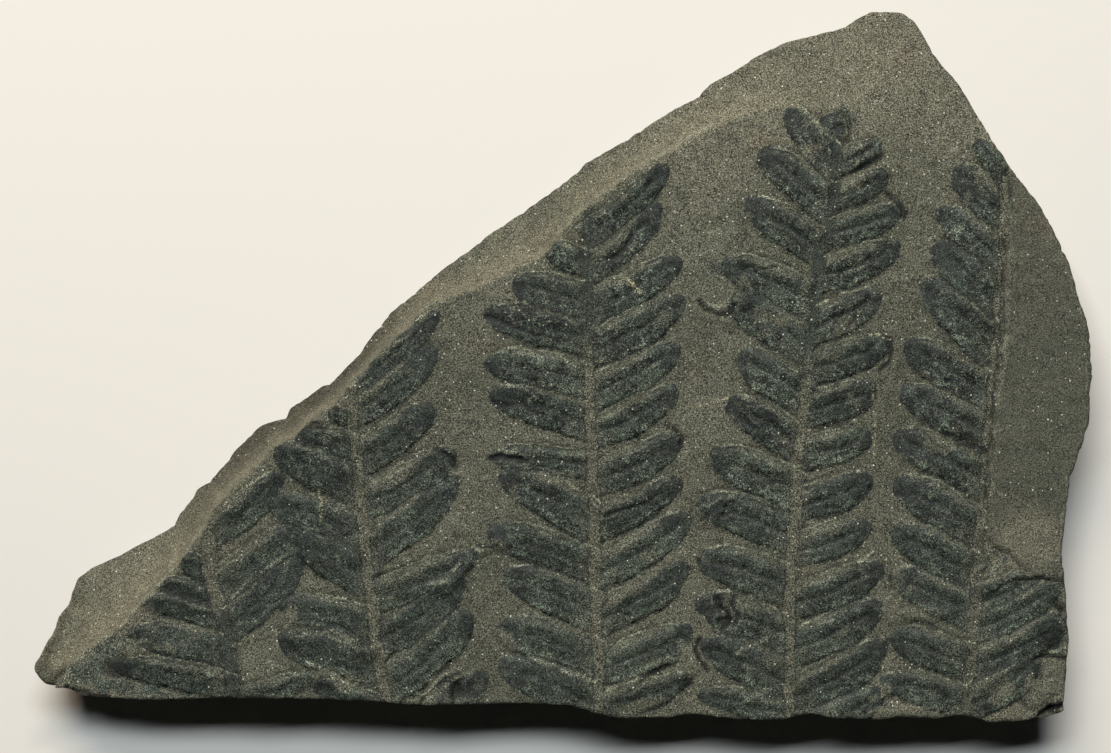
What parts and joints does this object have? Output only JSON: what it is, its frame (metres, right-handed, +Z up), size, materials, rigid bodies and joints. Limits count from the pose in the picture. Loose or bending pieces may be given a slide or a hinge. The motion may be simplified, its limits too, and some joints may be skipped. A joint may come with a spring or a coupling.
{
  "type": "fossil fern plate",
  "caption": "Slab of dark grey-green shale with the vaulted leaflets of a fossil seed fern on its split face, lying flat.",
  "frame": {"origin": "centre of the plate's bounding box, on its flat underside", "axes": "+X along the longest side, towards the broad end; +Y across the face, towards the upper ends of the fern stalks; +Z up, out of the fern face"},
  "size_m": [0.14, 0.094, 0.0135],
  "materials": {
    "shale": "matte"
  },
  "bodies": {
    "root": {"fern_plate": "shale"}
  },
  "joints": []
}
